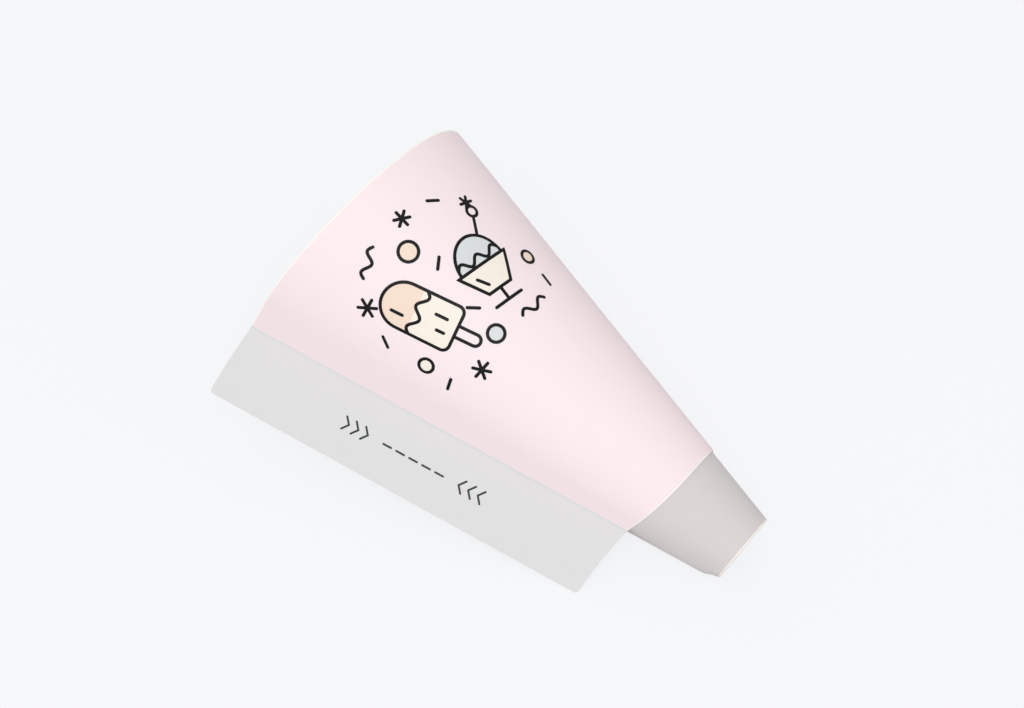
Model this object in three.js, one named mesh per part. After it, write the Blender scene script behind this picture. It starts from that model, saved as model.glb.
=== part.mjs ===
// Tapered paper sleeve: one sheet, rolled up on a taper, with one end left out as a flat flap.
// Lengths are in mm and angles in degrees. The taper is laid out first about its own tip, with +X along
// its axis to the mouth, +Y to the flap and +Z to the printed front, and is then turned as it rests.
import * as THREE from "three";

// The sheet.
const SHEET = 0.25; // paper thickness
const AIR = 0.15; // air left between two turns

// The taper it is rolled on.
const HALF_ANGLE = 11.6;
const TAIL_SLANT = 39.2; // distance from the tip to the inner turn's lower edge
const INNER_DROP = 0.6; // how far the inner turn stays below the outer one at the mouth

// Where the sheet is on its way round: 0 is at the flap, 90 at the front, 270 at the back.
const TAKE_OFF = 42; // the outer turn leaves the taper here
const SPRING_FROM = 300; // from here on the sheet springs out a little, where no turn holds it
const SPRING_TO = 352;
const SPRING = 0.1; // how far it springs out
const SETTLE_FROM = 360; // from here on the sheet dives under its own first turn
const SETTLE_TO = TAKE_OFF + 360;
const STEP_AT = 200; // the inner turn is longer towards the tip from here on
const LAP = 20; // how far the tail laps over itself

// The two cut edges of the outer turn on the flat blank: least distance from the tip, where the edge comes
// that near, and how it rises from there towards the flap, in mm over the turn squared and cubed (radians).
const MOUTH = { least: 140.56, low: 18.8, rise: 47.9, ease: 33.5 };
const HEM = { least: 56.57, low: 15.5, rise: 28.9, ease: 11 };

// The flap.
const WALL_TURN = 4; // flat stretch between taper and crease, seen from the tip
const CREASE_RADIUS = 1.6;
const FLAP_TILT = -2.4; // the flap rises by this much away from the taper
const FLAP_WIDTH = 16;
const FLAP_CORNER = 0.8;

// How finely the curves are cut into flats.
const STATION_STEP = 2.5;
const BEND_FLATS = 8;
const CORNER_FLATS = 5;

const rad = (degrees) => (degrees * Math.PI) / 180;
const alpha = rad(HALF_ANGLE);
const sinAlpha = Math.sin(alpha);
const TURN_PITCH = SHEET + AIR;
const lastAngle = STEP_AT + 360 + LAP;

// On the flat blank the tip is the origin, and the take-off line runs along +X.
// An angle on the taper is that much smaller on the blank.
const onBlank = (angle) => rad(angle - TAKE_OFF) * sinAlpha;

// Distance from the tip to a cut edge; past its nearest place the edge runs square.
function edgeSlant(edge, turn) {
  const off = Math.max(rad(edge.low) - turn, 0);
  return edge.least + edge.rise * off ** 2 - edge.ease * off ** 3;
}

// Where a straight line on the blank, given by a point and its direction, meets such an edge. The line runs
// nearly away from the tip, so a step by what is still missing in distance soon gets there.
function lineToEdge(point, direction, edge) {
  const place = point.clone().addScaledVector(direction, edge.least);
  for (let step = 0; step < 20; step++) {
    const missing = edgeSlant(edge, Math.atan2(place.y, place.x)) - place.length();
    place.addScaledVector(direction, missing);
  }
  return place;
}

// How far the sheet has moved in under its own first turn.
const underShare = (angle) => THREE.MathUtils.smoothstep(angle, SETTLE_FROM, SETTLE_TO);
const springOut = (angle) => SPRING * THREE.MathUtils.smoothstep(angle, SPRING_FROM, SPRING_TO);
const depth = (angle) => TURN_PITCH * underShare(angle) - springOut(angle) * (1 - underShare(angle));

// A point of the taper at a place on the sheet, and the way out of it.
function onTaper(angle, slant, lift) {
  const out = new THREE.Vector3(
    -sinAlpha,
    Math.cos(alpha) * Math.cos(rad(angle)),
    Math.cos(alpha) * Math.sin(rad(angle)),
  );
  const ray = new THREE.Vector3(
    Math.cos(alpha),
    sinAlpha * Math.cos(rad(angle)),
    sinAlpha * Math.sin(rad(angle)),
  );
  return ray.multiplyScalar(slant).addScaledVector(out, lift - depth(angle));
}

// The flat wall that leaves the taper, the crease and the flap, all about the line of the crease.
const takeOffOut = new THREE.Vector3(
  -sinAlpha,
  Math.cos(alpha) * Math.cos(rad(TAKE_OFF)),
  Math.cos(alpha) * Math.sin(rad(TAKE_OFF)),
);
const takeOffRay = new THREE.Vector3(
  Math.cos(alpha),
  sinAlpha * Math.cos(rad(TAKE_OFF)),
  sinAlpha * Math.sin(rad(TAKE_OFF)),
);
const takeOffDown = new THREE.Vector3(0, Math.sin(rad(TAKE_OFF)), -Math.cos(rad(TAKE_OFF)));
const creaseRay = takeOffRay
  .clone()
  .multiplyScalar(Math.cos(rad(WALL_TURN)))
  .addScaledVector(takeOffDown, Math.sin(rad(WALL_TURN)));
const wallRun = takeOffOut.clone().cross(creaseRay);
const flapRun = new THREE.Vector3(0, Math.cos(rad(FLAP_TILT)), Math.sin(rad(FLAP_TILT)));
flapRun.addScaledVector(creaseRay, -flapRun.dot(creaseRay)).normalize();
const bend = wallRun.angleTo(flapRun);
const bendTrim = CREASE_RADIUS * Math.tan(bend / 2);
const bendLength = CREASE_RADIUS * bend;

// Distance out from the crease line, measured along the paper, to a place across the bend.
function acrossBend(out) {
  if (out <= -bendTrim) return { run: wallRun.clone().multiplyScalar(out), face: takeOffOut.clone() };
  const turned = Math.min((out + bendTrim) / CREASE_RADIUS, bend);
  const run = wallRun
    .clone()
    .multiplyScalar(-bendTrim + CREASE_RADIUS * Math.sin(turned))
    .addScaledVector(takeOffOut, CREASE_RADIUS * (1 - Math.cos(turned)));
  const face = takeOffOut
    .clone()
    .multiplyScalar(Math.cos(turned))
    .addScaledVector(wallRun, -Math.sin(turned));
  run.addScaledVector(flapRun, out + bendTrim - CREASE_RADIUS * turned);
  return { run, face };
}

// A point beyond the take-off line, from its distance along the crease and out from it.
function beyondTakeOff(along, out, lift) {
  const { run, face } = acrossBend(out);
  return creaseRay.clone().multiplyScalar(along).add(run).addScaledVector(face, lift);
}

// Each station is a straight line of the sheet, from its lower edge up to the mouth's edge. It gives the
// points of its outer face (lift +) and of its inner face (lift -), with the tail's edge first where there
// is one.
const stations = [];
const faces = (place) => ({ outer: place(SHEET / 2), inner: place(-SHEET / 2) });

const creaseOnBlank = new THREE.Vector2(Math.cos(rad(-WALL_TURN)), Math.sin(rad(-WALL_TURN)));
const outOnBlank = new THREE.Vector2(creaseOnBlank.y, -creaseOnBlank.x);
const flapEdge = FLAP_WIDTH - 2 * bendTrim + bendLength;

function flapStation(out, trim) {
  const base = outOnBlank.clone().multiplyScalar(out);
  const low = lineToEdge(base, creaseOnBlank, HEM).dot(creaseOnBlank) + trim;
  const high = lineToEdge(base, creaseOnBlank, MOUTH).dot(creaseOnBlank) - trim;
  stations.push([
    null,
    faces((lift) => beyondTakeOff(low, out, lift)),
    faces((lift) => beyondTakeOff(high, out, lift)),
  ]);
}
for (let i = 0; i <= CORNER_FLATS; i++) {
  const turn = (i / CORNER_FLATS) * (Math.PI / 2);
  flapStation(
    flapEdge - FLAP_CORNER * (1 - Math.cos(turn)),
    FLAP_CORNER * (1 - Math.sin(turn)),
  );
}
const flapStart = bendLength - bendTrim;
flapStation((flapStart + flapEdge - FLAP_CORNER) / 2, 0);
for (let i = BEND_FLATS; i >= 0; i--) flapStation((i / BEND_FLATS) * bendLength - bendTrim, 0);

const turns = Math.ceil((lastAngle - TAKE_OFF) / STATION_STEP);
const angles = Array.from({ length: turns + 1 }, (_, i) => TAKE_OFF + ((lastAngle - TAKE_OFF) * i) / turns);
angles.push(STEP_AT);
angles.sort((a, b) => a - b);
const roundAngles = angles.filter((angle, i) => angle === STEP_AT || Math.abs(angle - STEP_AT) > 0.5);
for (const angle of roundAngles) {
  const turn = onBlank(angle);
  const hem = edgeSlant(HEM, turn);
  const mouth = edgeSlant(MOUTH, turn) - INNER_DROP * underShare(angle);
  stations.push([
    angle >= STEP_AT ? faces((lift) => onTaper(angle, TAIL_SLANT, lift)) : null,
    faces((lift) => onTaper(angle, hem, lift)),
    faces((lift) => onTaper(angle, mouth, lift)),
  ]);
}

// The sheet as one closed body: both faces, and a strip along every free edge.
const corners = [];
const used = new Map();
function corner(point) {
  if (!used.has(point)) {
    used.set(point, corners.length);
    corners.push(point);
  }
  return used.get(point);
}
const outerFaces = [];
for (let s = 0; s + 1 < stations.length; s++) {
  for (let row = 0; row < 2; row++) {
    const square = [stations[s][row], stations[s + 1][row], stations[s + 1][row + 1], stations[s][row + 1]];
    if (square.some((place) => place === null)) continue;
    outerFaces.push([square[0], square[1], square[2]], [square[0], square[2], square[3]]);
  }
}
const triangles = [];
const edges = new Map();
const placeIds = new Map();
const placeId = (place) => {
  if (!placeIds.has(place)) placeIds.set(place, placeIds.size);
  return placeIds.get(place);
};
for (const face of outerFaces) {
  triangles.push(face.map((place) => corner(place.outer)));
  triangles.push([...face].reverse().map((place) => corner(place.inner)));
  for (let i = 0; i < 3; i++) {
    const [from, to] = [face[i], face[(i + 1) % 3]];
    const back = `${placeId(to)} ${placeId(from)}`;
    if (!edges.delete(back)) edges.set(`${placeId(from)} ${placeId(to)}`, [from, to]);
  }
}
for (const [from, to] of edges.values()) {
  triangles.push([corner(from.inner), corner(to.inner), corner(to.outer)]);
  triangles.push([corner(from.inner), corner(to.outer), corner(from.outer)]);
}

// How it comes to rest: on one straight line of its back and on a corner of the flap.
// Of all planes through such a line and a flap corner, it is the one that has the whole sheet on one side.
function restingPlane() {
  const flapCorners = stations
    .slice(0, CORNER_FLATS + 1)
    .flatMap((station) => [station[1].inner, station[2].inner]);
  let best = null;
  for (const station of stations) {
    if (station[0] === null) continue;
    const [low, high] = [station[0].outer, station[2].outer];
    for (const flapPoint of flapCorners) {
      const up = high.clone().sub(low).cross(flapPoint.clone().sub(low)).normalize();
      const heights = corners.map((point) => point.clone().sub(low).dot(up));
      const mean = heights.reduce((sum, height) => sum + height, 0);
      if (mean < 0) {
        up.negate();
        heights.forEach((height, i) => (heights[i] = -height));
      }
      const sunk = Math.min(...heights);
      if (!best || sunk > best.sunk) best = { sunk, up, low, high };
    }
  }
  return best;
}
const rest = restingPlane();
const toTip = rest.low.clone().sub(rest.high).normalize();
const across = rest.up.clone().cross(toTip);
const turned = new THREE.Matrix4().makeBasis(toTip, across, rest.up).transpose();
corners.forEach((point) => point.applyMatrix4(turned));
const box = new THREE.Box3().setFromPoints(corners);
const middle = box.getCenter(new THREE.Vector3());
corners.forEach((point) => point.sub(new THREE.Vector3(middle.x, middle.y, box.min.z)));

const geometry = new THREE.BufferGeometry();
geometry.setAttribute("position", new THREE.Float32BufferAttribute(corners.flatMap((p) => p.toArray()), 3));
geometry.setIndex(triangles.flat());
geometry.computeVertexNormals();

const printedPaper = new THREE.MeshStandardMaterial({ color: "#fbebee", roughness: 0.7, metalness: 0 });
const sleeve = new THREE.Mesh(geometry, printedPaper);
sleeve.name = "sleeve";

const part = new THREE.Group();
part.add(sleeve);
export default part;
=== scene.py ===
"""Paper cone sleeve: one sheet of coated paper rolled on a taper, with one end left out as a flat flap.

Lengths are in metres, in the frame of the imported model, which lies on its back with the flap towards -Y.
"""

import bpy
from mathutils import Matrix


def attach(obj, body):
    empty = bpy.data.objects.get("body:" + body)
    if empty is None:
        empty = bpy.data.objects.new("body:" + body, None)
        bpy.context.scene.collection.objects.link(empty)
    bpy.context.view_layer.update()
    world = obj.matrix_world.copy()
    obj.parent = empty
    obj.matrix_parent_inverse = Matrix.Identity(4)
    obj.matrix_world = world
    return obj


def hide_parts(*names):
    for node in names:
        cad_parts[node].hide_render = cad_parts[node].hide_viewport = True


bl_info = {
    "name": "Paper Cone Sleeve",
    "version": (1, 0, 0),
    "blender": (4, 5, 0),
    "location": "View3D > Sidebar > Cone Sleeve",
    "description": "Builds a rolled paper cone sleeve with its print, and a plain studio for it",
    "category": "Add Mesh",
}

import math

import bpy
import numpy as np
from bpy.props import FloatProperty, FloatVectorProperty, IntProperty, PointerProperty
from mathutils import Matrix, Vector

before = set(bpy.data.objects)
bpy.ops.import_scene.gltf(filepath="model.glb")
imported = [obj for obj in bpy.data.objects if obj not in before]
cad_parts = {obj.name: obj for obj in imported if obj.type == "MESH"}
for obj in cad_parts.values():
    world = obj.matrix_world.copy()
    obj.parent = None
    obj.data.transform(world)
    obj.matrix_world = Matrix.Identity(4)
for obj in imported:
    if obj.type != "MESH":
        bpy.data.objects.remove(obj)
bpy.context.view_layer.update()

MM = 0.001
NODE = "sleeve"
CORNER_LINES = 6  # straight lines across a corner of the flap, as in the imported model
REST_STEP = math.radians(2.5)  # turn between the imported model's straight lines
CLIMB_AFTER = 0.9  # turn past the step before the print's lower border starts to climb
CURL_MIDDLE, CURL_SPREAD = math.radians(365), math.radians(30)  # where the tail's edge is pressed in, and how far
LINE_STEP, MARK_STEP = 0.35, 0.6  # millimetres between points of a drawn line, and of the mark's

IMAGE_WIDTH = 1024
SENSOR_WIDTH = 36.0
AIM = Vector((-5.951, 3.794, 26.823)) * MM
TENT_STRENGTH = 0.71
KEY_WATTS, KEY_SIZE, KEY_DISTANCE = 2.48, 0.5, 0.8
BACKDROP_SHARE = 0.85  # how much of the floor shows the plain backdrop; the rest keeps the soft shadow
BACKDROP_GAIN = 1.027  # makes up for that rest, which is a little darker
FLOOR_HALF = 6.0


# Sizes and colours that a user would change


def length(name, description, millimetres):
    return FloatProperty(
        name=name, description=description, default=millimetres * MM, unit="LENGTH", subtype="DISTANCE", precision=5
    )


def angle(name, description, degrees):
    return FloatProperty(
        name=name, description=description, default=math.radians(degrees), unit="ROTATION", subtype="ANGLE"
    )


def linear(hex_colour):
    """An sRGB hex colour as linear red, green, blue and alpha."""
    parts = [int(hex_colour[i : i + 2], 16) / 255 for i in (1, 3, 5)]
    return [p / 12.92 if p <= 0.04045 else ((p + 0.055) / 1.055) ** 2.4 for p in parts] + [1.0]


def colour(name, description, hex_colour):
    return FloatVectorProperty(
        name=name, description=description, default=linear(hex_colour), size=4, min=0, max=1, subtype="COLOR"
    )


class ConeSleeveSizes(bpy.types.PropertyGroup):
    sheet: length("Paper", "Thickness of the paper", 0.25)
    air: length("Air", "Air left between two turns", 0.15)
    half_angle: angle("Half angle", "Half the angle of the taper", 11.6)
    mouth_slant: length("Mouth slant", "Least distance from the tip to the mouth's edge", 140.56)
    mouth_low: angle("Mouth low", "Where on the blank the mouth's edge comes that near", 18.8)
    mouth_rise: length("Mouth rise", "How fast that edge rises from there, over the turn squared", 47.9)
    mouth_ease: length("Mouth ease", "How much that rise slackens, over the turn cubed", 33.5)
    hem_slant: length("Hem slant", "Least distance from the tip to the outer turn's lower edge", 56.57)
    hem_low: angle("Hem low", "Where on the blank that edge comes that near", 15.5)
    hem_rise: length("Hem rise", "How fast that edge rises from there, over the turn squared", 28.9)
    hem_ease: length("Hem ease", "How much that rise slackens, over the turn cubed", 11)
    tail_slant: length("Tail slant", "Distance from the tip to the inner turn's lower edge", 39.2)
    inner_drop: length("Inner drop", "How far the inner turn stays below the outer one at the mouth", 0.6)
    take_off: angle("Take-off", "Where the outer turn leaves the taper, from the flap's side", 42)
    spring: length("Spring", "How far the sheet springs out where no turn holds it", 0.1)
    spring_from: angle("Spring from", "Where the sheet starts to spring out", 300)
    spring_to: angle("Spring to", "Where it has sprung out", 352)
    settle_from: angle("Settle from", "Where the sheet starts to dive under its own first turn", 360)
    settle_to: angle("Settle to", "Where the sheet has reached its inner place", 402)
    step_at: angle("Step at", "Where the sheet gets longer towards the tip", 200)
    lap: angle("Lap", "How far the tail laps over itself", 20)
    wall_turn: angle("Wall turn", "Flat stretch between taper and crease, seen from the tip", 4)
    crease_radius: length("Crease radius", "Radius of the bend into the flap", 1.6)
    flap_tilt: angle("Flap tilt", "How far the flap rises away from the taper", -2.4)
    flap_width: length("Flap width", "Width of the flap beyond the crease", 16)
    flap_corner: length("Flap corner", "Radius of the flap's corners", 0.8)
    print_end: angle("Print end", "How far round the pink print goes, past the back", 398)
    print_rise: length("Print rise", "How far the print's lower border climbs on its way round the back", 4.4)
    curl: length("Curl", "How far the tail's edge is pressed in on the flap's side", 1.3)
    curl_length: length("Curl length", "How far up from the tail's edge that reaches", 3.6)
    # On the outer face a flat strip of this width along the mouth, the hem and the tail's edge takes the cut core's
    # colour: a painted highlight of the bright cut edge.
    core_and_highlight_strip: length("Chamfer", "Width of the pale line where a printed edge was cut", 0.28)
    undulation: length("Undulation", "How far the broad face of the paper swells in and out", 0.06)
    grid: length("Grid", "Length of one cell of the sheet's mesh", 1.6)
    flats: IntProperty(name="Flats", description="Flats in one full turn of the sheet", default=288, min=60)


class ConeSleeveColours(bpy.types.PropertyGroup):
    pink: colour("Pink print", "Pale pink of the printed field", "#F5E5E8")
    bare: colour("Bare paper", "Grey-white of the unprinted paper", "#DAD9DA")
    # The tail's tint is the flap's unprinted paper painted a little darker, as painted shade; the whole inside
    # takes it too.
    tail: colour("Bare tail", "The unprinted paper of the tail and the inside, a little warmer", "#D4CFCE")
    # This colour also serves as the painted highlight strip along the edges.
    core: colour("Cut edge", "Cream-white core that a cut edge shows", "#FBF4EC")
    line: colour("Line ink", "Near-black ink of the drawn lines", "#08090A")
    peach: colour("Peach ink", "Peach fill of the drawings", "#EFD9C8")
    cream: colour("Cream ink", "Cream fill of the drawings", "#F3EADF")
    mist: colour("Grey ink", "Pale grey fill of the drawings", "#D6DADB")
    mark: colour("Mark ink", "Dark green-grey of the flap's mark", "#36443F")


class ConeSleevePrint(bpy.types.PropertyGroup):
    centre_slant: length("Centre slant", "Distance from the tip to the drawing's centre", 115.5)
    centre_angle: angle("Centre angle", "Place of the drawing's centre round the taper", 102)
    stroke: length("Stroke", "Width of a drawn line", 0.66)
    film: length("Film", "How far the ink stands on the paper", 0.02)
    mark_along: length("Mark along", "Distance from the tip to the mark's centre, along the crease", 104)
    mark_out: length("Mark out", "Distance from the crease to the mark's centre", 8.1)
    mark_stroke: length("Mark stroke", "Width of the mark's lines", 0.42)


class ConeSleeveStage(bpy.types.PropertyGroup):
    key_azimuth: angle("Key azimuth", "Direction the key light comes from, round the sleeve", 25)
    key_elevation: angle("Key elevation", "Height of the key light above the horizon", 55)
    azimuth: angle("Camera azimuth", "Direction the camera looks from, round the sleeve", 34.61)
    elevation: angle("Camera elevation", "Height of the camera above the horizon", 53.872)
    roll: angle("Camera roll", "Roll of the camera about its own axis", 4.846)
    distance: length("Camera distance", "Distance from the camera to the aim point", 363)
    focal_pixels: FloatProperty(name="Focal length", description="Focal length in image pixels", default=1811.4)
    backdrop: colour("Backdrop", "Pale cool white behind the sleeve", "#F6F7F9")
    key: FloatProperty(name="Key light", description="Strength of the soft light by the camera", default=1.0)
    fill: FloatProperty(name="Fill light", description="Strength of the light from all round", default=1.0)


# The rolled sheet


def unit(vector):
    return vector / np.linalg.norm(vector)


def smooth_step(value, start, end):
    share = np.clip((value - start) / (end - start), 0, 1)
    return share * share * (3 - 2 * share)


def heading(turn):
    """Unit direction on the flat blank, for a turn measured from the take-off line."""
    return np.stack([np.cos(turn), np.sin(turn)], axis=-1)


class RolledSheet:
    """Takes points of the flat blank to where they are once it is rolled, folded and lying at rest.

    On the blank the tip of the taper is the origin and the take-off line runs along +X. In the tip frame the
    axis runs along +X to the mouth, with +Y to the flap and +Z to the printed front.
    """

    def __init__(self, sizes):
        self.sizes = sizes
        self.sin, self.cos = math.sin(sizes.half_angle), math.cos(sizes.half_angle)
        self.last_angle = sizes.step_at + 2 * math.pi + sizes.lap
        self.face = self.outward(np.array(sizes.take_off))
        ray = self.ray(np.array(sizes.take_off))
        down = np.array([0, math.sin(sizes.take_off), -math.cos(sizes.take_off)])
        self.crease = ray * math.cos(sizes.wall_turn) + down * math.sin(sizes.wall_turn)
        self.wall = np.cross(self.face, self.crease)
        flap = np.array([0, math.cos(sizes.flap_tilt), math.sin(sizes.flap_tilt)])
        self.flap = unit(flap - flap @ self.crease * self.crease)
        self.bend = math.acos(self.wall @ self.flap)
        self.trim = sizes.crease_radius * math.tan(self.bend / 2)
        self.bend_length = sizes.crease_radius * self.bend
        self.flap_edge = sizes.flap_width - 2 * self.trim + self.bend_length
        self.crease_flat = heading(np.array(-sizes.wall_turn))
        self.out_flat = np.array([self.crease_flat[1], -self.crease_flat[0]])
        self.turn_to_row, self.tip = np.eye(3), np.zeros(3)
        self.lay_down()

    def ray(self, round_angle):
        return np.stack(
            [np.full_like(round_angle, self.cos), self.sin * np.cos(round_angle), self.sin * np.sin(round_angle)],
            axis=-1,
        )

    def outward(self, round_angle):
        return np.stack(
            [np.full_like(round_angle, -self.sin), self.cos * np.cos(round_angle), self.cos * np.sin(round_angle)],
            axis=-1,
        )

    def under_share(self, round_angle):
        """0 where the sheet is on the outside and 1 where it has moved in under its own first turn."""
        return smooth_step(round_angle, self.sizes.settle_from, self.sizes.settle_to)

    def depth(self, round_angle):
        """How far the middle of the paper lies inside the taper."""
        s = self.sizes
        under = self.under_share(round_angle)
        sprung = s.spring * smooth_step(round_angle, s.spring_from, s.spring_to)
        return (s.sheet + s.air) * under - sprung * (1 - under)

    def turn_of(self, round_angle):
        return (round_angle - self.sizes.take_off) * self.sin

    def place(self, flat, lift):
        """Row-frame positions of blank points that stand lift above the middle of the paper."""
        s = self.sizes
        lift = np.broadcast_to(lift, flat.shape[:1])
        turn = np.arctan2(flat[:, 1], flat[:, 0])
        round_angle = s.take_off + turn / self.sin
        slant = np.hypot(flat[:, 0], flat[:, 1])
        stand = lift - self.depth(round_angle)
        taper = self.ray(round_angle) * slant[:, None] + self.outward(round_angle) * stand[:, None]
        out = flat @ self.out_flat
        turned = np.clip((out + self.trim) / s.crease_radius, 0, self.bend)
        on_wall = np.minimum(out, -self.trim) + s.crease_radius * np.sin(turned)
        on_flap = np.maximum(out + self.trim - self.bend_length, 0)
        face = np.cos(turned)[:, None] * self.face - np.sin(turned)[:, None] * self.wall
        beyond = (
            (flat @ self.crease_flat)[:, None] * self.crease
            + on_wall[:, None] * self.wall
            + (s.crease_radius * (1 - np.cos(turned)))[:, None] * self.face
            + on_flap[:, None] * self.flap
            + face * lift[:, None]
        )
        points = np.where((turn >= 0)[:, None], taper, beyond)
        return points @ self.turn_to_row.T + self.tip

    def edge_slant(self, name, turn):
        """Distance from the tip to the mouth's edge or the hem; past its nearest place it runs square."""
        parts = ("slant", "low", "rise", "ease")
        least, low, rise, ease = (getattr(self.sizes, f"{name}_{part}") for part in parts)
        off = np.maximum(low - turn, 0)
        return least + rise * off**2 - ease * off**3

    def edge_along(self, name, out):
        """Distance along the crease's direction to such an edge, on lines that lie out beyond the crease."""
        along = np.full_like(out, getattr(self.sizes, f"{name}_slant"))
        for _ in range(20):
            place = along[:, None] * self.crease_flat + out[:, None] * self.out_flat
            turn = np.arctan2(place[:, 1], place[:, 0])
            along = along + self.edge_slant(name, turn) - np.hypot(place[:, 0], place[:, 1])
        return along

    def flap_end(self, name, out):
        """The same, but the flap's flat part is cut straight from its corner to its middle and to the bend."""
        cut = np.linspace(self.bend_length - self.trim, self.flap_edge - self.sizes.flap_corner, 3)
        straight = np.interp(out, cut, self.edge_along(name, cut))
        return np.where((out > cut[0]) & (out < cut[-1]), straight, self.edge_along(name, out))

    def lines(self, round_angle):
        """The sheet's straight lines in order, from the flap's edge through those at round_angle.

        Gives each line's lower, hem and mouth ends on the blank, and whether it has a tail.
        """
        s = self.sizes
        corner = np.linspace(0, math.pi / 2, CORNER_LINES)
        corner_out = self.flap_edge - s.flap_corner * (1 - np.cos(corner))
        flat_out = np.linspace(self.flap_edge - s.flap_corner, self.bend_length - self.trim, 11)[1:]
        bend_out = np.linspace(self.bend_length - self.trim, -self.trim, 17)[1:]
        out = np.concatenate([corner_out, flat_out, bend_out])
        trim = np.zeros_like(out)
        trim[: len(corner)] = s.flap_corner * (1 - np.sin(corner))
        base = out[:, None] * self.out_flat
        low = self.flap_end("hem", out) + trim
        high = self.flap_end("mouth", out) - trim
        flap_hem = base + low[:, None] * self.crease_flat
        flap_mouth = base + high[:, None] * self.crease_flat

        turn = self.turn_of(round_angle)
        direction = heading(turn)
        climb = s.print_rise * smooth_step(round_angle, s.step_at + CLIMB_AFTER, s.spring_to)
        hem = direction * (self.edge_slant("hem", turn) + climb)[:, None]
        drop = s.inner_drop * self.under_share(round_angle)
        mouth = direction * (self.edge_slant("mouth", turn) - drop)[:, None]
        has_tail = round_angle >= s.step_at - 1e-6
        tail = np.where(has_tail[:, None], direction * s.tail_slant, hem)
        return {
            "tail": np.concatenate([flap_hem, tail]),
            "hem": np.concatenate([flap_hem, hem]),
            "mouth": np.concatenate([flap_mouth, mouth]),
            "has_tail": np.concatenate([np.zeros(len(out), bool), has_tail]),
            "out": np.concatenate([out, np.full(len(round_angle), -1.0)]),
            "angle": np.concatenate([np.full(len(out), s.take_off), round_angle]),
        }

    def lay_down(self):
        """Turns the sheet to lie on one straight line of its back and on a corner of the flap.

        Of all planes through such a line and a flap corner, it is the one with the whole sheet above it.
        """
        half = self.sizes.sheet / 2
        count = math.ceil((self.last_angle - self.sizes.take_off) / REST_STEP)
        lines = self.lines(np.linspace(self.sizes.take_off, self.last_angle, count + 1))
        ends = [self.place(lines[row], lift) for row in ("tail", "hem", "mouth") for lift in (half, -half)]
        everything = np.concatenate(ends)
        corners = np.concatenate([ends[3][:CORNER_LINES], ends[5][:CORNER_LINES]])
        backs = np.flatnonzero(lines["has_tail"])
        best = None
        for line in backs:
            low, high = ends[0][line], ends[4][line]
            for corner in corners:
                up = unit(np.cross(high - low, corner - low))
                heights = (everything - low) @ up
                if heights.sum() < 0:
                    up, heights = -up, -heights
                if best is None or heights.min() > best[0]:
                    best = (heights.min(), up, unit(low - high))
        _, up, to_tip = best
        self.turn_to_row = np.array([to_tip, np.cross(up, to_tip), up])
        laid = everything @ self.turn_to_row.T
        low, high = laid.min(axis=0), laid.max(axis=0)
        self.tip = -np.array([(low[0] + high[0]) / 2, (low[1] + high[1]) / 2, low[2]])

    def relief(self, flat):
        """How far the paper stands off its true shape: a broad swell, and the tail's edge pressed in."""
        s = self.sizes
        turn = np.arctan2(flat[:, 1], flat[:, 0])
        slant = np.hypot(flat[:, 0], flat[:, 1])
        round_angle = s.take_off + turn / self.sin
        free = 1 - smooth_step(round_angle, s.spring_from - 0.6, s.spring_from - 0.2)
        free = free * smooth_step(self.flap_edge - flat @ self.out_flat, 0, 3 * MM)
        swell = np.sin(turn * 7 + slant * 25 + 0.5) * np.sin(slant * 60 + turn * 3)
        pressed = 1 - smooth_step(np.abs(round_angle - CURL_MIDDLE), 0, CURL_SPREAD)
        near_edge = 1 - smooth_step(slant, s.tail_slant - s.curl_length, s.tail_slant + s.curl_length)
        return s.undulation * (swell - 1) / 2 * free - 2 * s.curl * pressed * near_edge


def rolled_sheet():
    return RolledSheet(bpy.context.scene.cone_sleeve_sizes)


# Materials


def node(tree, kind, inputs=None, **settings):
    """Adds one node with its settings; an input given as another node's output is linked."""
    made = tree.nodes.new(kind)
    for name, value in settings.items():
        setattr(made, name, value)
    for name, value in (inputs or {}).items():
        if isinstance(value, bpy.types.NodeSocket):
            tree.links.new(value, made.inputs[name])
        else:
            made.inputs[name].default_value = value
    return made


def fresh_material(name):
    material = bpy.data.materials.new(name)
    material.use_nodes = True
    material.node_tree.nodes.clear()
    return material, material.node_tree


def per_metre(millimetres):
    """Noise scale that gives features of this size."""
    return 1 / (millimetres * MM)


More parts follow.
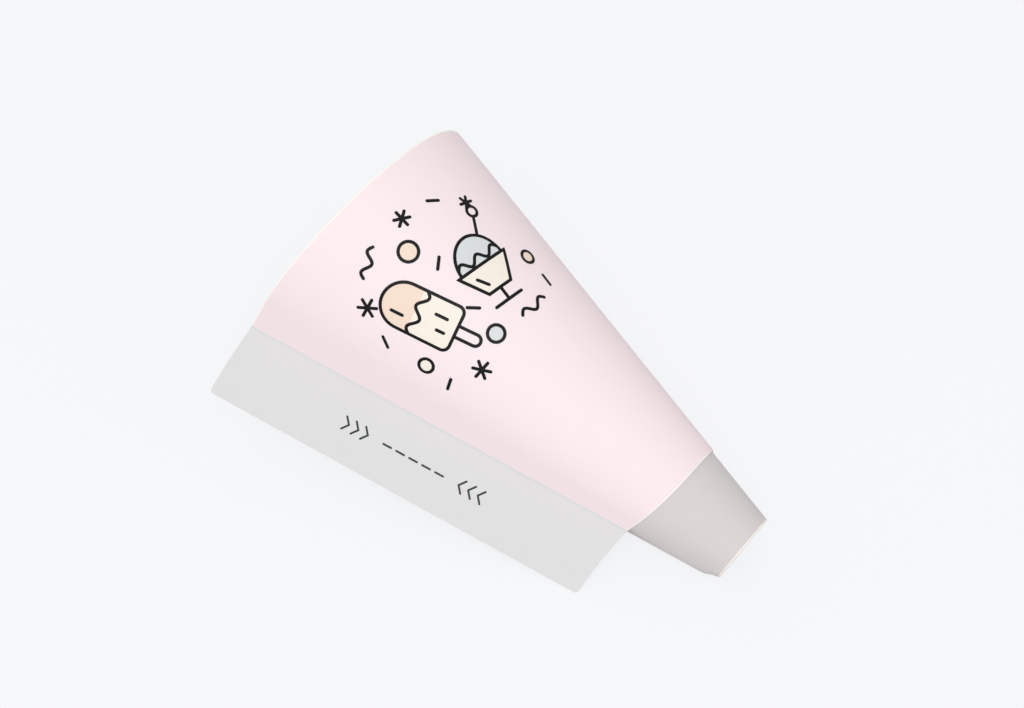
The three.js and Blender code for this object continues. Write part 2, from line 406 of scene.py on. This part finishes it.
def paper_stock(name, tint, cloud, tooth, roughness):
    """Paper: fibre clouds shade it softly, and its tooth breaks up the light a little."""
    material, tree = fresh_material(name)
    place = node(tree, "ShaderNodeTexCoord").outputs["Object"]
    clouds = node(
        tree, "ShaderNodeTexNoise", {"Vector": place, "Scale": per_metre(5), "Detail": 4, "Roughness": 0.55}
    )
    fleck = node(tree, "ShaderNodeTexNoise", {"Vector": place, "Scale": per_metre(0.6), "Detail": 2})
    both = node(tree, "ShaderNodeMath", {0: clouds.outputs["Fac"], 1: fleck.outputs["Fac"]}, operation="ADD")
    shade = node(
        tree,
        "ShaderNodeMapRange",
        {"Value": both.outputs[0], "From Min": 0.6, "From Max": 1.4, "To Min": 1 - cloud, "To Max": 1 + cloud},
    )
    grey = node(tree, "ShaderNodeCombineColor", {n: shade.outputs["Result"] for n in ("Red", "Green", "Blue")})
    tone = node(
        tree,
        "ShaderNodeMix",
        {"Factor": 1.0, "A": tuple(tint), "B": grey.outputs["Color"]},
        data_type="RGBA",
        blend_type="MULTIPLY",
    )
    grain = node(tree, "ShaderNodeTexNoise", {"Vector": place, "Scale": per_metre(0.35), "Detail": 3})
    bump = node(tree, "ShaderNodeBump", {"Height": grain.outputs["Fac"], "Strength": tooth, "Distance": 0.05 * MM})
    shader = node(
        tree,
        "ShaderNodeBsdfPrincipled",
        {
            "Base Color": tone.outputs["Result"],
            "Normal": bump.outputs["Normal"],
            "Roughness": roughness,
            "IOR": 1.45,
        },
    )
    node(tree, "ShaderNodeOutputMaterial", {"Surface": shader.outputs["BSDF"]})
    return material


def pink_coated_paper():
    """Offset print on coated paper: an even pale pink with the soft sheen of its coating."""
    tint = bpy.context.scene.cone_sleeve_colours.pink
    return paper_stock("pink_coated_paper", tint, cloud=0.006, tooth=0.1, roughness=0.7)


def bare_grey_paper(part):
    """The same paper unprinted: duller and greyer, with its fibres showing a little more."""
    tint = getattr(bpy.context.scene.cone_sleeve_colours, part)
    return paper_stock(f"bare_grey_paper_{part}", tint, cloud=0.012, tooth=0.2, roughness=0.8)


def cut_paper_core():
    """The cut through the sheet: raw white core, brighter than either face; the same colour also lies flat along
    the printed edges and the tail's edge as a painted highlight.
    """
    tint = bpy.context.scene.cone_sleeve_colours.core
    return paper_stock("cut_paper_core", tint, cloud=0.02, tooth=0.4, roughness=0.9)


def offset_ink(name, tint, roughness):
    """Offset ink: a film too thin to have a shape of its own, a little glossier than the paper."""
    material, tree = fresh_material(name)
    place = node(tree, "ShaderNodeTexCoord").outputs["Object"]
    cover = node(tree, "ShaderNodeTexNoise", {"Vector": place, "Scale": per_metre(0.5), "Detail": 2})
    light = [min(c * 1.04 + 0.004, 1) for c in tint[:3]] + [1]
    dark = [c * 0.96 for c in tint[:3]] + [1]
    tone = node(tree, "ShaderNodeMix", {"Factor": cover.outputs["Fac"], "A": dark, "B": light}, data_type="RGBA")
    shader = node(
        tree,
        "ShaderNodeBsdfPrincipled",
        {"Base Color": tone.outputs["Result"], "Roughness": roughness, "Specular IOR Level": 0.15},
    )
    node(tree, "ShaderNodeOutputMaterial", {"Surface": shader.outputs["BSDF"]})
    return material


# Meshes


def new_piece(name, points, faces, materials, material_of_face=None):
    """A smooth mesh piece that rides with the sleeve, finished with the materials it is given."""
    mesh = bpy.data.meshes.new(name)
    mesh.from_pydata([tuple(p) for p in points], [], [tuple(f) for f in faces])
    for material in materials:
        mesh.materials.append(material)
    if material_of_face is not None:
        mesh.polygons.foreach_set("material_index", np.asarray(material_of_face, dtype=np.int32))
    mesh.shade_smooth()
    mesh.update()
    piece = bpy.data.objects.new(name, mesh)
    bpy.context.scene.collection.objects.link(piece)
    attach(piece, "root")
    return piece


class SheetMesh:
    """Collects points and faces of the sheet, with a material for each face."""

    PRINTED, BARE, TAIL, CUT = range(4)

    def __init__(self):
        self.points = []
        self.faces = []
        self.materials = []
        self.count = 0

    def add_points(self, points):
        first = self.count
        self.points.append(points)
        self.count += len(points)
        return first

    def add_face(self, corners, material):
        self.faces.append(corners)
        self.materials.append(material)


def rows_between(low, high, count, low_strip, high_strip):
    """Blank points in rows from low to high, with narrow strips of those widths at the ends."""
    length = np.maximum(np.linalg.norm(high - low, axis=1), 1e-9)
    run = low_strip + (length - low_strip - high_strip) * np.linspace(0, 1, count + 1)[:, None]
    if low_strip:
        run = np.vstack([np.zeros(len(low)), run])
    if high_strip:
        run = np.vstack([run, length])
    return low + (high - low) * (run / length)[:, :, None]


def build_sheet(sheet):
    """Both faces of the paper, cell by cell, and the cut edge wherever a cell has no neighbour."""
    s = sheet.sizes
    step = 2 * math.pi / s.flats
    stops = (s.take_off, s.step_at, s.print_end, sheet.last_angle)
    spans = [np.linspace(a, b, round((b - a) / step) + 1)[:-1] for a, b in zip(stops, stops[1:])]
    lines = sheet.lines(np.concatenate([*spans, [sheet.last_angle]]))
    tail_count = round((s.hem_slant - s.tail_slant) / s.grid) + 6
    main_count = round((s.mouth_slant - s.hem_slant) / s.grid)
    tail = rows_between(lines["tail"], lines["hem"], tail_count, s.core_and_highlight_strip, 0)
    main = rows_between(lines["hem"], lines["mouth"], main_count, s.core_and_highlight_strip, s.core_and_highlight_strip)
    flat = np.concatenate([tail[:-1], main])
    hem_row = len(tail) - 1
    first_row = np.where(lines["has_tail"], 0, hem_row)
    rows, columns = flat.shape[:2]
    points_flat = flat.reshape(-1, 2)
    relief = sheet.relief(points_flat)
    made = SheetMesh()
    half = s.sheet / 2
    outer = made.add_points(sheet.place(points_flat, relief + half))
    inner = made.add_points(sheet.place(points_flat, relief - half))
    outer_edge = made.add_points(made.points[0])
    inner_edge = made.add_points(made.points[1])
    border = 0.25 * sheet.bend_length - sheet.trim + 1e-7  # the print ends a quarter of the way round the bend

    def has_cell(row, column):
        if not (0 <= row < rows - 1 and 0 <= column < columns - 1):
            return False
        return row >= max(first_row[column], first_row[column + 1])

    def outer_material(row, column):
        in_print = lines["out"][column] <= border and lines["angle"][column + 1] <= s.print_end + 1e-6
        # Row 0, the hem's first row and the top row are flat strips in the cut core's colour along the edges: a
        # painted highlight.
        if row < hem_row or not in_print:
            return made.CUT if row == 0 else made.BARE if lines["out"][column] > border else made.TAIL
        at_hem = row == hem_row and not lines["has_tail"][column]
        return made.CUT if at_hem or row == rows - 2 else made.PRINTED

    for column in range(columns - 1):
        for row in range(rows - 1):
            if not has_cell(row, column):
                continue
            a, b = row * columns + column, row * columns + column + 1
            d, c = a + columns, b + columns
            made.add_face((outer + a, outer + b, outer + c, outer + d), outer_material(row, column))
            # Inner faces take the tail's tint: the unprinted paper painted a little darker, as painted shade.
            made.add_face((inner + d, inner + c, inner + b, inner + a), made.TAIL)
            sides = (
                (has_cell(row - 1, column), a, b),
                (has_cell(row, column + 1), b, c),
                (has_cell(row + 1, column), c, d),
                (has_cell(row, column - 1), d, a),
            )
            for neighbour, start, end in sides:
                if not neighbour:
                    made.add_face(
                        (inner_edge + start, inner_edge + end, outer_edge + end, outer_edge + start), made.CUT
                    )
    return made


def drop_unused(points, faces):
    """Leaves out the grid points that no face uses."""
    used = np.unique(np.concatenate([np.asarray(f) for f in faces]))
    number = np.full(len(points), -1)
    number[used] = np.arange(len(used))
    return points[used], [tuple(int(number[c]) for c in f) for f in faces]


class ConeSleeveAddSheet(bpy.types.Operator):
    """Adds the rolled sheet of paper"""

    bl_idname = "cone_sleeve.add_sheet"
    bl_label = "Add sheet"

    def execute(self, context):
        made = build_sheet(rolled_sheet())
        points, faces = drop_unused(np.concatenate(made.points), made.faces)
        papers = [pink_coated_paper(), bare_grey_paper("bare"), bare_grey_paper("tail"), cut_paper_core()]
        piece = new_piece("rolled_sheet", points, faces, papers, made.materials)
        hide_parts(NODE)
        return {"FINISHED"}


# The print. Drawings are in millimetres: x to the right and y up, towards the mouth.


def arc(centre_x, centre_y, radius_x, radius_y, start, end, steps=24):
    turn = np.radians(np.linspace(start, end, steps + 1))
    return np.stack([centre_x + radius_x * np.cos(turn), centre_y + radius_y * np.sin(turn)], axis=1)


def straight(*points):
    return np.array(points, dtype=float)


def wave(start_x, end_x, y, height, waves, steps=36):
    x = np.linspace(start_x, end_x, steps + 1)
    return np.stack([x, y + height * np.sin((x - start_x) / (end_x - start_x) * 2 * math.pi * waves)], axis=1)


def span_fill(low_y, high_y, left, right, steps=18, across=10):
    """Grid that fills the space between two curves x = left(y) and x = right(y)."""
    y = np.linspace(low_y, high_y, steps + 1)
    share = np.linspace(0, 1, across + 1)
    x = left(y)[:, None] * (1 - share) + right(y)[:, None] * share
    return np.stack([x, np.broadcast_to(y[:, None], x.shape)], axis=2)


def disc_fill(centre_x, centre_y, radius, rings=4, steps=24):
    distance = np.linspace(0, radius, rings + 1)[None, :]
    turn = np.linspace(0, 2 * math.pi, steps + 1)[:, None]
    return np.stack([centre_x + distance * np.cos(turn), centre_y + distance * np.sin(turn)], axis=2)


def lolly():
    """An ice lolly with a dipped top, on its stick."""
    half, foot, shoulder = 3.9, -6.0, 3.4

    def edge(y):
        return np.where(y > shoulder, np.sqrt(np.maximum(half**2 - (y - shoulder) ** 2, 0)), half)

    body = np.concatenate(
        [
            arc(0, shoulder, half, half, 0, 180),
            arc(-half + 1.2, foot + 1.2, 1.2, 1.2, 180, 270, 8),
            arc(half - 1.2, foot + 1.2, 1.2, 1.2, 270, 360, 8),
            straight((half, shoulder)),
        ]
    )
    stick_end = arc(0, foot - 3.4, 0.95, 0.95, 180, 360, 12)
    stick = np.concatenate([straight((-0.95, foot)), stick_end, straight((0.95, foot))])
    strokes = [
        body,
        stick,
        wave(-half, half, 0.9, 0.75, 2),
        straight((-1.5, 3.0), (-1.5, 5.0)),
        straight((1.1, -3.9), (1.1, -1.9)),
        straight((-1.2, -4.3), (-1.2, -3.0)),
    ]
    fills = {
        "peach": [span_fill(1.4, shoulder + half - 0.02, lambda y: -edge(y), edge)],
        "cream": [span_fill(foot + 0.3, 1.4, lambda y: -edge(y), edge)],
    }
    return strokes, fills


def sundae():
    """A footed cup with one domed scoop and a spoon."""
    strokes = [
        straight((-5.2, 0), (5.2, 0), (2.4, -5.0), (-2.4, -5.0), (-5.2, 0)),
        straight((0, -5.0), (0, -7.4)),
        straight((-2.8, -7.5), (2.8, -7.5)),
        arc(0, 0, 4.5, 5.4, 0, 180),
        wave(-4.3, 4.3, 1.2, 0.7, 2.5),
        straight((2.6, 4.6), (4.4, 7.6)),
        arc(4.9, 8.5, 1.0, 1.0, 0, 360),
        straight((-2.6, -1.8), (-1.4, -3.6)),
    ]

    def dome(y):
        return 4.5 * np.sqrt(np.maximum(1 - (y / 5.4) ** 2, 0))

    def cup(y):
        return 2.4 + (y + 5.0) / 5.0 * 2.8

    fills = {
        "mist": [span_fill(0.2, 5.38, lambda y: -dome(y), dome)],
        "cream": [span_fill(-4.9, -0.1, lambda y: -cup(y), cup)],
    }
    return strokes, fills


def sparkle(radius=1.7):
    strokes = []
    for turn in (0, 60, 120):
        x, y = radius * math.cos(math.radians(turn)), radius * math.sin(math.radians(turn))
        strokes.append(straight((-x, -y), (x, y)))
    return strokes, {}


def pearl(radius, ink):
    return [arc(0, 0, radius, radius, 0, 360)], {ink: [disc_fill(0, 0, radius)]}


def ribbon_curl():
    return [wave(-3.2, 3.2, 0, 0.8, 1.5)], {}


def sprinkle():
    return [straight((-1.1, 0), (1.1, 0))], {}


# Each motif of the drawing, with its place in millimetres, its turn in degrees and its scale.
DRAWING = (
    (lolly(), -8.2, 0.6, 16, 1.2),
    (sundae(), 7.4, -1.4, -12, 1.15),
    (pearl(2.0, "peach"), -0.8, 10.8, 0, 1),
    (pearl(1.5, "cream"), -15.8, -6.4, 0, 1),
    (pearl(1.7, "mist"), -1.4, -12.4, 0, 1),
    (pearl(1.4, "peach"), 16.4, -7.2, 0, 1),
    (sparkle(1.9), -14.6, 9.6, 10, 1),
    (sparkle(1.6), 3.2, 16.0, 25, 1),
    (sparkle(1.8), -8.6, -15.0, 0, 1),
    (sparkle(1.4), 15.6, 9.0, 40, 1),
    (ribbon_curl(), -7.6, 15.2, 24, 1),
    (ribbon_curl(), 8.0, -14.4, -8, 1),
    (sprinkle(), -17.8, 2.6, 60, 1.1),
    (sprinkle(), -0.6, -5.8, -50, 1.1),
    (sprinkle(), 1.4, 5.0, 35, 1.1),
    (sprinkle(), 10.4, 14.0, -40, 1.1),
    (sprinkle(), -15.6, -12.2, 20, 1.1),
    (sprinkle(), 15.2, -13.0, 75, 1.1),
)


def set_down(shape, x, y, turn, scale):
    """Scales and turns a motif's shape and moves it to its place in the drawing."""
    cosine, sine = math.cos(math.radians(turn)), math.sin(math.radians(turn))
    turned = scale * shape @ np.array([[cosine, sine], [-sine, cosine]])
    return turned + np.array([x, y])


def even_steps(path, step):
    """The same path with points no further apart than step, so that it can follow the curved paper."""
    pieces = [path[:1]]
    for start, end in zip(path[:-1], path[1:]):
        count = max(1, math.ceil(np.linalg.norm(end - start) / step))
        pieces.append(start + (end - start) * (np.arange(1, count + 1) / count)[:, None])
    return np.concatenate(pieces)


def stroke_mesh(path, width, cap_steps=6):
    """Points and faces of a round-ended line of this width along a path."""
    path = path[np.concatenate([[True], np.linalg.norm(np.diff(path, axis=0), axis=1) > 1e-9])]
    closed = np.linalg.norm(path[0] - path[-1]) < 1e-6
    ahead = np.diff(path, axis=0)
    ahead /= np.linalg.norm(ahead, axis=1)[:, None]
    if closed:
        before, after = np.vstack([ahead[-1], ahead]), np.vstack([ahead, ahead[0]])
    else:
        before, after = np.vstack([ahead[0], ahead]), np.vstack([ahead, ahead[-1]])
    along = before + after
    along /= np.linalg.norm(along, axis=1)[:, None]
    mitre = np.clip((along * after).sum(axis=1), 0.6, 1)[:, None]
    side = np.stack([-along[:, 1], along[:, 0]], axis=1) * (width / 2) / mitre
    points = [path + side, path - side]
    count = len(path)
    faces = [(i, count + i, count + i + 1, i + 1) for i in range(count - 1)]
    total = 2 * count
    if not closed:
        for end, sign in ((0, -1), (count - 1, 1)):
            direction = along[end] * sign
            start = math.atan2(direction[1], direction[0]) - math.pi / 2
            turn = start + np.linspace(0, math.pi, cap_steps + 1)
            rim = path[end] + np.stack([np.cos(turn), np.sin(turn)], axis=1) * width / 2
            points.append(np.vstack([path[end], rim]))
            faces += [(total, total + i, total + i + 1) for i in range(1, cap_steps + 1)]
            total += cap_steps + 2
    return np.concatenate(points), faces


def grid_mesh(grid):
    rows, columns = grid.shape[:2]
    faces = []
    for row in range(rows - 1):
        for column in range(columns - 1):
            a = row * columns + column
            faces.append((a, a + 1, a + columns + 1, a + columns))
    return grid.reshape(-1, 2), faces


class InkFilm:
    """Gathers shapes of one ink and puts them down on the paper as one thin film."""

    def __init__(self):
        self.points = []
        self.faces = []
        self.count = 0

    def add(self, mesh):
        points, faces = mesh
        self.points.append(points)
        self.faces += [tuple(c + self.count for c in face) for face in faces]
        self.count += len(points)

    def put_down(self, name, sheet, to_blank, film, material):
        flat = to_blank(np.concatenate(self.points) * MM)
        lift = sheet.relief(flat) + sheet.sizes.sheet / 2 + film
        return new_piece(name, sheet.place(flat, lift), self.faces, [material])


class ConeSleeveAddDrawing(bpy.types.Operator):
    """Prints the loose drawing of lollies, cups and sprinkles on the front"""

    bl_idname = "cone_sleeve.add_drawing"
    bl_label = "Add drawing"

    def execute(self, context):
        sizes = context.scene.cone_sleeve_print
        colours = context.scene.cone_sleeve_colours
        sheet = rolled_sheet()
        turn = sheet.turn_of(sizes.centre_angle)
        up = heading(np.array(turn))
        right = np.array([-up[1], up[0]])

        def to_blank(drawing):
            return up * sizes.centre_slant + drawing[:, :1] * right + drawing[:, 1:] * up

        films = {ink: InkFilm() for ink in ("line", "peach", "cream", "mist")}
        for (strokes, fills), *setting in DRAWING:
            for path in strokes:
                placed = set_down(even_steps(path, LINE_STEP), *setting)
                films["line"].add(stroke_mesh(placed, sizes.stroke / MM))
            for ink, grids in fills.items():
                for grid in grids:
                    placed = set_down(grid.reshape(-1, 2), *setting).reshape(grid.shape)
                    films[ink].add(grid_mesh(placed))
        for ink, film in films.items():
            height = sizes.film * (2 if ink == "line" else 1)
            material = offset_ink(f"offset_ink_{ink}", getattr(colours, ink), roughness=0.45)
            film.put_down(f"drawing_{ink}", sheet, to_blank, height, material)
        return {"FINISHED"}


def hold_mark():
    """A row of dashes with three chevrons at each end that point to its middle."""
    strokes = [straight((x - 0.9, 0), (x + 0.9, 0)) for x in (-6, -3, 0, 3, 6)]
    for side in (-1, 1):
        for x in (10.5, 12.7, 14.9):
            strokes.append(straight((side * (x + 1.1), 1.4), (side * x, 0), (side * (x + 1.1), -1.4)))
    return strokes


class ConeSleeveAddHoldMark(bpy.types.Operator):
    """Prints the plain mark on the flap that shows where to hold it"""

    bl_idname = "cone_sleeve.add_hold_mark"
    bl_label = "Add hold mark"

    def execute(self, context):
        sizes = context.scene.cone_sleeve_print
        sheet = rolled_sheet()

        def to_blank(drawing):
            along = sizes.mark_along + drawing[:, :1]
            out = sizes.mark_out + drawing[:, 1:]
            return along * sheet.crease_flat + out * sheet.out_flat

        film = InkFilm()
        for path in hold_mark():
            film.add(stroke_mesh(even_steps(path, MARK_STEP), sizes.mark_stroke / MM))
        ink = offset_ink("offset_ink_mark", context.scene.cone_sleeve_colours.mark, roughness=0.5)
        film.put_down("hold_mark", sheet, to_blank, sizes.film, ink)
        return {"FINISHED"}


# The stage


def shows_backdrop(tree, share=1.0):
    """This share for rays to the eye, straight, mirrored or through glass, and 0 for light on things."""
    path = node(tree, "ShaderNodeLightPath").outputs
    seen = path["Is Camera Ray"]
    for kind in ("Is Glossy Ray", "Is Transmission Ray"):
        seen = node(tree, "ShaderNodeMath", {0: seen, 1: path[kind]}, operation="MAXIMUM").outputs[0]
    return node(tree, "ShaderNodeMath", {0: seen, 1: share}, operation="MULTIPLY").outputs[0]


def seamless_paper(tint):
    """Studio backdrop paper: an even pale cool white to the eye, which keeps a faint soft shadow."""
    material, tree = fresh_material("seamless_backdrop_paper")
    diffuse = node(tree, "ShaderNodeBsdfDiffuse", {"Color": (0.82, 0.82, 0.83, 1), "Roughness": 0.5})
    seen = node(tree, "ShaderNodeEmission", {"Color": tuple(tint), "Strength": BACKDROP_GAIN})
    share = shows_backdrop(tree, BACKDROP_SHARE)
    mixed = node(tree, "ShaderNodeMixShader", {"Fac": share, 1: diffuse.outputs["BSDF"], 2: seen.outputs[0]})
    node(tree, "ShaderNodeOutputMaterial", {"Surface": mixed.outputs["Shader"]})
    return material


def add_floor(stage):
    corners = [(x * FLOOR_HALF, y * FLOOR_HALF, 0) for x, y in ((-1, -1), (1, -1), (1, 1), (-1, 1))]
    mesh = bpy.data.meshes.new("floor")
    mesh.from_pydata(corners, [], [(0, 1, 2, 3)])
    mesh.materials.append(seamless_paper(stage.backdrop))
    floor = bpy.data.objects.new("floor", mesh)
    bpy.context.scene.collection.objects.link(floor)


def add_world(stage):
    """Light from all round, as in a white tent; the camera sees the backdrop's colour in it."""
    world = bpy.data.worlds.new("white_tent")
    world.use_nodes = True
    tree = world.node_tree
    tree.nodes.clear()
    lighting = node(tree, "ShaderNodeBackground", {"Color": (1, 1, 1, 1), "Strength": TENT_STRENGTH * stage.fill})
    seen = node(tree, "ShaderNodeBackground", {"Color": tuple(stage.backdrop), "Strength": 1.0})
    share = shows_backdrop(tree)
    mixed = node(tree, "ShaderNodeMixShader", {"Fac": share, 1: lighting.outputs[0], 2: seen.outputs[0]})
    node(tree, "ShaderNodeOutputWorld", {"Surface": mixed.outputs["Shader"]})
    bpy.context.scene.world = world


def direction_from(azimuth, elevation):
    """Unit vector from the sleeve towards a place seen at this azimuth and elevation."""
    return Vector(
        (
            math.sin(azimuth) * math.cos(elevation),
            -math.cos(azimuth) * math.cos(elevation),
            math.sin(elevation),
        )
    )


def add_camera(stage):
    camera_data = bpy.data.cameras.new("camera")
    camera_data.sensor_fit = "HORIZONTAL"
    camera_data.sensor_width = SENSOR_WIDTH
    camera_data.lens = stage.focal_pixels / IMAGE_WIDTH * SENSOR_WIDTH
    camera_data.clip_start = 0.01
    camera = bpy.data.objects.new("camera", camera_data)
    towards = direction_from(stage.azimuth, stage.elevation)
    turned = (-towards).to_track_quat("-Z", "Y").to_matrix() @ Matrix.Rotation(stage.roll, 3, "Z")
    camera.matrix_world = Matrix.Translation(AIM + towards * stage.distance) @ turned.to_4x4()
    bpy.context.scene.collection.objects.link(camera)
    bpy.context.scene.camera = camera


def add_key_light(stage):
    """One large soft disc above the camera's side."""
    light_data = bpy.data.lights.new("key", "AREA")
    light_data.shape = "DISK"
    light_data.size = KEY_SIZE
    light_data.energy = KEY_WATTS * stage.key
    light = bpy.data.objects.new("key", light_data)
    towards = direction_from(stage.key_azimuth, stage.key_elevation)
    turned = (-towards).to_track_quat("-Z", "Y").to_matrix()
    light.matrix_world = Matrix.Translation(AIM + towards * KEY_DISTANCE) @ turned.to_4x4()
    bpy.context.scene.collection.objects.link(light)


class ConeSleeveAddStage(bpy.types.Operator):
    """Adds the pale floor, the soft lights and the camera"""

    bl_idname = "cone_sleeve.add_stage"
    bl_label = "Add stage"

    def execute(self, context):
        stage = context.scene.cone_sleeve_stage
        add_floor(stage)
        add_world(stage)
        add_camera(stage)
        add_key_light(stage)
        context.scene.view_settings.view_transform = "Standard"
        return {"FINISHED"}


class ConeSleevePanel(bpy.types.Panel):
    """Sizes, colours and steps of the paper cone sleeve"""

    bl_idname = "VIEW3D_PT_cone_sleeve"
    bl_label = "Cone Sleeve"
    bl_space_type = "VIEW_3D"
    bl_region_type = "UI"
    bl_category = "Cone Sleeve"

    def draw(self, context):
        scene = context.scene
        for group in (
            scene.cone_sleeve_sizes,
            scene.cone_sleeve_colours,
            scene.cone_sleeve_print,
            scene.cone_sleeve_stage,
        ):
            box = self.layout.box()
            for name in group.bl_rna.properties.keys():
                if name not in ("rna_type", "name"):
                    box.prop(group, name)
        for operator in OPERATORS:
            self.layout.operator(operator.bl_idname)


PROPERTY_GROUPS = {
    "cone_sleeve_sizes": ConeSleeveSizes,
    "cone_sleeve_colours": ConeSleeveColours,
    "cone_sleeve_print": ConeSleevePrint,
    "cone_sleeve_stage": ConeSleeveStage,
}
OPERATORS = (ConeSleeveAddSheet, ConeSleeveAddDrawing, ConeSleeveAddHoldMark, ConeSleeveAddStage)


def register():
    for name, group in PROPERTY_GROUPS.items():
        bpy.utils.register_class(group)
        setattr(bpy.types.Scene, name, PointerProperty(type=group))
    for operator in OPERATORS:
        bpy.utils.register_class(operator)
    bpy.utils.register_class(ConeSleevePanel)


def unregister():
    bpy.utils.unregister_class(ConeSleevePanel)
    for operator in reversed(OPERATORS):
        bpy.utils.unregister_class(operator)
    for name, group in reversed(PROPERTY_GROUPS.items()):
        delattr(bpy.types.Scene, name)
        bpy.utils.unregister_class(group)


def main():
    register()
    bpy.ops.cone_sleeve.add_sheet()
    bpy.ops.cone_sleeve.add_drawing()
    bpy.ops.cone_sleeve.add_hold_mark()
    bpy.ops.cone_sleeve.add_stage()
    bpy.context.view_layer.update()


if __name__ == "__main__":
    main()
